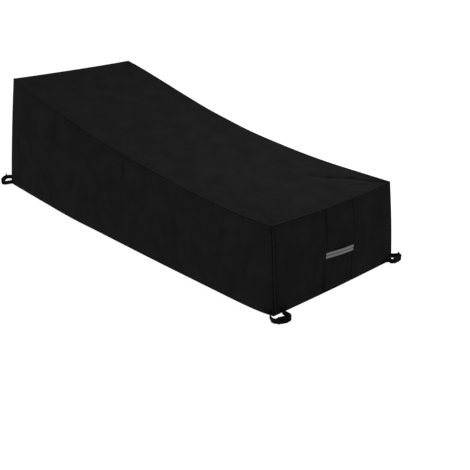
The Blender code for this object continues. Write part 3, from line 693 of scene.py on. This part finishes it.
def pressed_flat(point):
    """Whether a strap or the handle is sewn on here, which flattens the cloth."""
    at_corner = abs(point.z - SEWN_HEIGHT) < PRESSED_STRAP and any(
        (point - corner_point(corner, 0, 0, point.z)).length < SEWN_START + SEWN_STEP + PRESSED_BESIDE
        for corner in CORNERS
    )
    at_handle = point.x > HEM_FOOT - PRESSED_FROM and abs(point.z - PRESSED_HEIGHT) < PRESSED_UP and any(
        abs(point.y - foot_seam(side, 1 - HANDLE_FAR_HEIGHT / FOOT_HEIGHT)) < PRESSED_HANDLE
        for side in (-1, 1)
    )
    return at_corner or at_handle


def seam_painted_shade(seam, point):
    """How dark the painted shade at a seam is. It varies along the two seams of the foot end."""
    if seam != "flat":
        return SEAM_PAINTED_SHADE[seam]
    column = "near_tone" if point.y < FOOT_MIDDLE else "far_tone"
    return through(FOOT_SEAMS, "level", column, point.z / FOOT_HEIGHT)


def cloth_point(panel, along, down):
    """Point of a panel's outer face with its creases, puckers and sewn edges, and the painted shade there.
    """
    point = panel.face(along, down)
    wide, tall = panel.wide(down), panel.tall(along)
    insets = (along * wide, (1 - along) * wide, down * tall, (1 - down) * tall)
    edge = min(insets)
    fade = min(edge / EDGE_FADE, 1.0)
    spot = [getattr(point, axis) for axis in panel.plane]
    push = fold_depth(panel.creases, *spot) * fade
    # Painted shade in the base colour, deeper in deeper creases and beside seams.
    shade = CREASE_PAINTED_SHADE * min(max(push / CREASE_FULL, 0.0), 1.0)
    push += WAVINESS * unevenness(point, WAVE_SIZE, panel.seed) * fade
    near_seam = math.exp(-edge / PUCKER_REACH) * min(edge / PUCKER_START, 1.0)
    push += PUCKER * unevenness(point, PUCKER_SIZE, panel.seed + 7) * near_seam
    push += sum(sewn_relief(seam, inset) for seam, inset in zip(panel.seams, insets))
    if push < 0 and pressed_flat(point):
        push = 0.0
    for seam, inset in zip(panel.seams, insets):
        shade = max(shade, seam_painted_shade(seam, point) * math.exp(-inset / SEAM_SHADE))
    return point + panel.inwards * push, shade


def start_sheet(name, columns, rows):
    """Flat grid of squares from -1 to 1, which is then shaped."""
    bpy.ops.mesh.primitive_grid_add(x_subdivisions=columns, y_subdivisions=rows, size=2.0)
    sheet = bpy.context.object
    sheet.name = sheet.data.name = name
    sheet.data.uv_layers.active.name = "cut"
    return sheet


def thicken(sheet, thickness, offset):
    """Gives a sheet its thickness, inwards at offset -1 and to both sides at 0."""
    solid = sheet.modifiers.new("Thickness", "SOLIDIFY")
    solid.thickness = thickness
    solid.offset = offset
    bpy.ops.object.modifier_apply(modifier=solid.name)


def soften(piece, width, segments, sharp, smooth):
    """Rounds the edges above one angle and shades those below the other smooth. Both are in degrees."""
    bevel = piece.modifiers.new("Soft edges", "BEVEL")
    bevel.width = width
    bevel.segments = segments
    bevel.limit_method = "ANGLE"
    bevel.angle_limit = math.radians(sharp)
    bpy.ops.object.modifier_apply(modifier=bevel.name)
    bpy.ops.object.shade_smooth_by_angle(angle=math.radians(smooth))


def hang(piece, finish, slot, *nodes):
    """Gives a piece its material and puts it on the one body, in the place of the solids it stands for."""
    piece.data.materials.append(finish)
    piece.select_set(False)
    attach(piece, "root")
    if nodes:
        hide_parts(*nodes)


def sew_panel(panel):
    """A panel of cloth with its edges turned in."""
    columns = cut_lines(panel.wide(0.5), *panel.seams[:2])
    rows = cut_lines(panel.tall(0.5), *panel.seams[2:])
    sheet = start_sheet(panel.name, len(columns) - 1, len(rows) - 1)
    # Painted shade beside seams and in creases, by which the cloth's material darkens its colour.
    sheet.data.attributes.new("painted_shade", "FLOAT", "POINT")
    bm = bmesh.new()
    bm.from_mesh(sheet.data)
    flat, painted_shade = bm.loops.layers.uv["cut"], bm.verts.layers.float["painted_shade"]
    places = {}
    for vert in bm.verts:
        i = round((vert.co.x + 1) / 2 * (len(columns) - 1))
        j = round((vert.co.y + 1) / 2 * (len(rows) - 1))
        places[vert] = (i, j)
        column, row = columns[i], rows[j]
        along = min(max(column.share + column.inset / panel.wide(row.share), 0.0), 1.0)
        down = min(max(row.share + row.inset / panel.tall(column.share), 0.0), 1.0)
        point, shade = cloth_point(panel, along, down)
        vert.co = point + panel.inwards * max(column.drop, row.drop)
        vert[painted_shade] = shade
    column_run, row_run = cloth_run(columns, panel.wide(0.5)), cloth_run(rows, panel.tall(0.5))
    notches = []
    for square in bm.faces:
        spots = [places[vert] for vert in square.verts]
        for loop in square.loops:
            i, j = places[loop.vert]
            loop[flat].uv = (column_run[i], row_run[j])
        if any(columns[i].tucked for i, j in spots) and any(rows[j].tucked for i, j in spots):
            notches.append(square)
    bmesh.ops.delete(bm, geom=notches, context="FACES")
    bm.to_mesh(sheet.data)
    bm.free()
    facing = sum((face.normal * face.area for face in sheet.data.polygons), Vector())
    if facing.dot(panel.inwards) > 0:
        sheet.data.flip_normals()
    thicken(sheet, CLOTH, -1.0)
    bpy.ops.object.shade_smooth()
    hang(sheet, CLOTH_FINISH, "cover_cloth", panel.node)
    return sheet


def top_cut():
    return Panel(
        "cloth_top", "top_panel", top_face, lambda across: LENGTH,
        lambda along: 2 * half_width(LENGTH * (along - 0.5)), Vector((0, 0, -1)),
        TOP_CREASES, "xy", ("over", "over", "over", "over"), 3,
    )


def side_cut(name, node, side, creases):
    def tall(along):
        x = LENGTH * (along - 0.5)
        return wall_top(x, side * half_width(x))

    return Panel(
        name, node, side_face(side), lambda down: mix(LENGTH, HEM_HEAD + HEM_FOOT, down), tall,
        Vector((0, -side, 0)), creases, "xz", ("corner", "corner", "back", "hem"), 11 + side,
    )


def end_cut(name, node, end, first, last, creases):
    def wide(down):
        return end_mark(end, last, down) - end_mark(end, first, down)

    def tall(across):
        return wall_top(end * LENGTH / 2, end_place(end, first, last, across, 0))

    seams = ("back" if first == -2 else "flat", "back" if last == 2 else "flat", "back", "hem")
    return Panel(
        name, node, end_face(end, first, last), wide, tall, Vector((-end, 0, 0)), creases, "yz",
        seams, 23 + first,
    )


PANELS = (
    top_cut(),
    side_cut("cloth_side_near", "side_panel_near", -1, NEAR_CREASES),
    side_cut("cloth_side_far", "side_panel_far", 1, FAR_CREASES),
    end_cut("cloth_head", "head_panel", -1, -2, 2, HEAD_CREASES),
    end_cut("cloth_foot_near", "foot_panel_near", 1, -2, -1, FOOT_CREASES),
    end_cut("cloth_foot_middle", "foot_panel_middle", 1, -1, 1, FOOT_CREASES),
    end_cut("cloth_foot_far", "foot_panel_far", 1, 1, 2, FOOT_CREASES),
)


# ---------- webbing and its paths
def corner_point(corner, out, wide, height):
    """Point of a place beside a bottom corner of the hem."""
    reach = HEM_FOOT if corner.end > 0 else HEM_HEAD
    width = hem_width(corner.side, 1.0 if corner.end > 0 else 0.0)
    return Vector((corner.end * (reach + out), corner.side * (width + wide), height))


def sewn_points(corner, which):
    """Where a strap lies flat on the cloth, as (centre, direction of its width) pairs."""
    if which == "side":
        face, at_last, shift = side_face(corner.side), corner.end > 0, 0.0
        outwards = Vector((0, corner.side, 0))
        width = HEM_HEAD + HEM_FOOT
    else:
        face, at_last, shift = end_face(corner.end, -2, 2), corner.side > 0, SEWN_STEP - CORNER_STEP
        outwards = Vector((corner.end, 0, 0))
        width = end_mark(corner.end, 2, 1) - end_mark(corner.end, -2, 1)
    points = []
    for distance in (SEWN_START + shift, SEWN_END + shift):
        share = distance / width
        share = 1 - share if at_last else share
        hem, above = face(share, 1.0), face(share, ABOVE_HEM)
        spot = hem.lerp(above, SEWN_HEIGHT / above.z)
        points.append((spot + outwards * (GAP + WEBBING / 2), (above - hem).normalized()))
    return points


def hook_points():
    """Path of a strap round the clip's bar, as (along, inwards) pairs in the clip's frame."""
    bar = CLIP_HALF_LENGTH - CLIP_BAR
    radius = CLIP_BAR_HALF + GAP + WEBBING / 2
    beyond = CLIP_HALF_LENGTH + GAP
    middle = mix(CLIP_APPROACH, beyond, 0.5), mix(LAYER_STEP / 2, radius, 0.5)
    there = [(CLIP_APPROACH, LAYER_STEP / 2), middle, (beyond, radius)]
    back = [(along, -inwards) for along, inwards in reversed(there)]
    angles = [math.pi / 2 + math.pi * step / ARC_STEPS for step in range(ARC_STEPS + 1)]
    return there + [(bar + radius * math.cos(a), radius * math.sin(a)) for a in angles] + back


def clip_heading(corner, which):
    """Direction seen from above from the clip's middle towards a strap, as out and wide."""
    turn = math.radians(corner.turn)
    heading = Vector((math.cos(turn), math.sin(turn)))
    return heading if which == "end" else -heading


def outward_normals(loop, outwards):
    """Level directions square to a loop. The last one is on the side that outwards points to."""
    normals = []
    for index in range(len(loop) - 1, -1, -1):
        run = loop[min(index + 1, len(loop) - 1)] - loop[max(index - 1, 0)]
        normal = Vector((run.y, -run.x, 0.0)).normalized()
        outwards = normal if normal.dot(outwards) > 0 else -normal
        normals.insert(0, outwards)
    return normals


def strap_path(corner, which):
    """Path of one strap: sewn to the cloth, along the loop, round the clip's bar and back."""
    sewn = sewn_points(corner, which)
    heading = clip_heading(corner, which)
    inwards = Vector((-abs(heading.y), -abs(heading.x)))

    def placed(along, inward):
        spot = Vector((corner.clip_out, corner.clip_wide)) + heading * along + inwards * inward
        return corner_point(corner, spot.x, spot.y, STRAP_HEIGHT)

    start, points, leans = sewn[0][0], [sewn[1][0]], [0.0]
    for row in table(RoutePoint, *ROUTES[corner.name, which]):
        lean = math.radians(row.lean)
        height = row.lift + STRAP_WIDTH / 2 * math.cos(lean)
        points.append(corner_point(corner, row.out, row.wide, height))
        leans.append(lean)
    hook = [placed(*spot) for spot in hook_points()]
    points.append(hook[0])
    leans.append(0.0)
    leave = (points[0] - start).normalized() * SEWN_RUN
    arrive = (placed(0, 0) - placed(1, 0)).normalized() * APPROACH_RUN
    loop = spline(points, ROUTE_STEPS, leave, arrive)
    normals = outward_normals(loop, placed(0, -1) - placed(0, 0))
    widths = []
    for step, normal in enumerate(normals):
        place = min(step * (len(leans) - 1) / ROUTE_STEPS, len(leans) - 1.001)
        lean = mix(leans[int(place)], leans[int(place) + 1], place % 1)
        width = Vector((0, 0, math.cos(lean))) + normal * math.sin(lean)
        widths.append(width.lerp(sewn[1][1], max(1 - place, 0.0)).normalized())

    path = [(start.lerp(loop[0], step / 4), sewn[0][1]) for step in range(4)]
    path += list(zip(loop, widths))
    path += [(point, Vector((0, 0, 1))) for point in hook[1:]]
    free = which == corner.tail_on
    length = corner.tail if free else SOCKET_TAIL
    spread, rise = (corner.spread, corner.rise) if free else (0.0, 0.0)
    travelled = 0.0
    for index in range(len(loop) - 2, 0, -1):
        travelled += (loop[index + 1] - loop[index]).length
        share = min(travelled / length, 1.0)
        away = normals[index] * (LAYER_STEP + spread * share**2)
        path.append((loop[index] + away + Vector((0, 0, rise * share**2)), widths[index]))
        if travelled >= length:
            break
    return path


def handle_path():
    """Path of the grab handle, whose ends are caught in the seams beside the middle foot panel."""
    face = end_face(1, -1, 1)
    result = []
    for step in range(HANDLE_STEPS + 1):
        share = step / HANDLE_STEPS
        across = mix(HANDLE_INSET, 1 - HANDLE_INSET, share)
        slack = math.sin(math.pi * share) ** 2
        height = mix(HANDLE_NEAR_HEIGHT, HANDLE_FAR_HEIGHT, share) + HANDLE_ARCH * slack
        down = 1 - height / face(across, 0.0).z
        spot = face(across, down)
        up = (face(across, down - HANDLE_TILT) - spot).normalized()
        off = GAP + HANDLE_THICKNESS / 2 + HANDLE_RISE * slack
        result.append((spot + Vector((off, 0, 0)), up))
    return result


def weave_webbing(name, path, width, thickness, finish, slot, node):
    """Webbing along a path of (centre, direction of its width) pairs, with rounded selvedges."""
    band = start_sheet(name, len(path) - 1, WEBBING_COLUMNS)
    run = [0.0]
    for before, after in zip(path, path[1:]):
        run.append(run[-1] + (after[0] - before[0]).length)
    bm = bmesh.new()
    bm.from_mesh(band.data)
    flat = bm.loops.layers.uv["cut"]
    places = {}
    for vert in bm.verts:
        i = round((vert.co.x + 1) / 2 * (len(path) - 1))
        centre, across = path[i]
        places[vert] = (run[i], vert.co.y * width / 2)
        vert.co = centre + across * (vert.co.y * width / 2)
    for square in bm.faces:
        for loop in square.loops:
            loop[flat].uv = places[loop.vert]
    bm.to_mesh(band.data)
    bm.free()
    thicken(band, thickness, 0.0)
    soften(band, thickness * SELVEDGE, 3, 60, 50)
    hang(band, finish, slot, node)


def round_clip(name, node):
    """A half of a clip with the soft edges that its mould gives it."""
    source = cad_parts[node]
    half = bpy.data.objects.new(name, source.data.copy())
    half.data.name = name
    bpy.context.scene.collection.objects.link(half)
    bm = bmesh.new()
    bm.from_mesh(half.data)
    bmesh.ops.remove_doubles(bm, verts=bm.verts[:], dist=SAME_POINT)
    bmesh.ops.dissolve_limit(bm, angle_limit=FLAT_ANGLE, verts=bm.verts[:], edges=bm.edges[:])
    bm.to_mesh(half.data)
    bm.free()
    half.data.materials.clear()
    bpy.context.view_layer.objects.active = half
    half.select_set(True)
    soften(half, CLIP_EDGE, 2, 35, 40)
    hang(half, CLIP_FINISH, "clip_plastic", node)


# ---------- stitching
def stitch_form():
    """One stitch, lying along X, whose ends dip into the cloth."""
    bpy.ops.mesh.primitive_cylinder_add(vertices=5, radius=THREAD / 2, depth=STITCH_LENGTH)
    stitch = bpy.context.object
    bpy.ops.object.mode_set(mode="EDIT")
    for height in (STITCH_LENGTH / 4, -STITCH_LENGTH / 4):
        bpy.ops.mesh.select_all(action="SELECT")
        bpy.ops.mesh.bisect(plane_co=(0, 0, height), plane_no=(0, 0, 1))
    bpy.ops.object.mode_set(mode="OBJECT")
    mesh = stitch.data.copy()
    bpy.data.objects.remove(stitch, do_unlink=True)
    mesh.transform(Matrix.Rotation(math.radians(90), 4, "Y"))
    for vert in mesh.vertices:
        end = max(abs(vert.co.x) / (STITCH_LENGTH / 2) - 0.5, 0.0) * 2
        vert.co.z -= STITCH_SINK * end
        vert.co.y *= 1 - STITCH_TAPER * end
    return mesh


def even_steps(points, pitch):
    """Places one pitch apart along a line of (point, outwards) pairs, each with its direction."""
    placed, carried = [], pitch / 2
    for (start, out), (end, _) in zip(points, points[1:]):
        run = end - start
        length = run.length
        while carried <= length and length > 0:
            placed.append((start + run * (carried / length), run / length, out))
            carried += pitch
        carried -= length
    return placed


def sew_stitches(name, rows):
    """All the stitches of some rows, as one mesh."""
    form = stitch_form()
    bm = bmesh.new()
    for points in rows:
        for point, along, out in even_steps(points, STITCH_PITCH):
            side = out.cross(along).normalized()
            up = along.cross(side).normalized()
            before = len(bm.verts)
            bm.from_mesh(form)
            bm.verts.ensure_lookup_table()
            turned = Matrix((along, side, up)).transposed().to_4x4()
            bmesh.ops.transform(bm, verts=bm.verts[before:], matrix=Matrix.Translation(point) @ turned)
    mesh = bpy.data.meshes.new(name)
    bm.to_mesh(mesh)
    bm.free()
    bpy.data.meshes.remove(form)
    stitches = bpy.data.objects.new(name, mesh)
    bpy.context.scene.collection.objects.link(stitches)
    mesh.shade_smooth()
    hang(stitches, THREAD_FINISH, "cover_cloth")
    return stitches


def panel_row(panel, edge, inset, start, end):
    """Line of (point, outwards) pairs on a panel at a distance from one of its edges."""
    steps = LONG_ROW if panel.wide(0.5) > 1 else SHORT_ROW
    line = []
    for step in range(steps + 1):
        share = mix(start, end, step / steps)
        if edge in ("upper", "lower"):
            down = inset / panel.tall(share)
            spot = (share, down if edge == "upper" else 1 - down)
        else:
            along = inset / panel.wide(share)
            spot = (along if edge == "first" else 1 - along, share)
        point, _ = cloth_point(panel, *spot)
        line.append((point - panel.inwards * STITCH_LIFT, -panel.inwards))
    return line


def panel_stitches(panel):
    """The rows of stitching that hold down the cloth turned in at a panel's edges."""
    rows = []
    for edge, seam in zip(("first", "last", "upper", "lower"), panel.seams):
        inset = HEM_STITCH if seam == "hem" else SEAM_STITCH
        size = panel.tall(0.5) if edge in ("first", "last") else panel.wide(0.5)
        margin = SEAM_STITCH / size
        last = HEM_STITCH / size if edge in ("first", "last") and panel.seams[3] == "hem" else margin
        rows.append(panel_row(panel, edge, inset, margin, 1 - last))
    return rows


def sew_cover():
    for panel in PANELS:
        sheet = sew_panel(panel)
        stitches = sew_stitches(panel.name.replace("cloth", "stitches"), panel_stitches(panel))


def fit_trim():
    weave_webbing("handle_webbing", handle_path(), HANDLE_WIDTH, HANDLE_THICKNESS, HANDLE_FINISH,
                  "handle_webbing", "grab_handle")
    for corner in CORNERS:
        for which in ("side", "end"):
            weave_webbing(f"webbing_{corner.name}_{which}", strap_path(corner, which), STRAP_WIDTH, WEBBING,
                          STRAP_FINISH, "strap_webbing", f"strap_{corner.name}_{which}")
        for half in ("socket", "plug"):
            round_clip(f"release_{half}_{corner.name}", f"clip_{half}_{corner.name}")


sew_cover()
fit_trim()


# ---------- floor and light
def set_stage():
    bpy.ops.mesh.primitive_circle_add(vertices=96, radius=40.0, fill_type="NGON", location=(0, 0, -0.001))
    floor = bpy.context.object
    floor.name = "studio_floor"
    material = start_material("studio_floor_white", {
        "Base Color": (0.25, 0.25, 0.25, 1.0),
        "Emission Color": (1.0, 1.0, 1.0, 1.0),
        "Emission Strength": 0.85,
        "Roughness": 0.9,
        "Specular IOR Level": 0.0,
    })[0]
    floor.data.materials.append(material)
    floor.select_set(False)

    world = bpy.context.scene.world or bpy.data.worlds.new("studio")
    bpy.context.scene.world = world
    world.use_nodes = True
    background = world.node_tree.nodes["Background"]
    background.inputs["Color"].default_value = (1.0, 1.0, 1.0, 1.0)
    background.inputs["Strength"].default_value = 0.8

    Lamp = namedtuple("Lamp", "name place aim size power")
    for lamp in (
        Lamp("far_softbox", (0.9, 1.3, 2.0), (0.7, 0.1, 0.4), 1.4, 41.0),
        Lamp("side_softbox", (0.1, -4.2, 1.7), (0.1, -0.4, 0.3), 3.0, 52.0),
    ):
        bpy.ops.object.light_add(type="AREA", location=lamp.place)
        light = bpy.context.object
        light.name = lamp.name
        light.data.shape = "SQUARE"
        light.data.size = lamp.size
        light.data.energy = lamp.power
        aim = Vector(lamp.aim) - Vector(lamp.place)
        light.rotation_euler = aim.to_track_quat("-Z", "Y").to_euler()
        light.select_set(False)
    bpy.context.scene.view_settings.view_transform = "Standard"


set_stage()
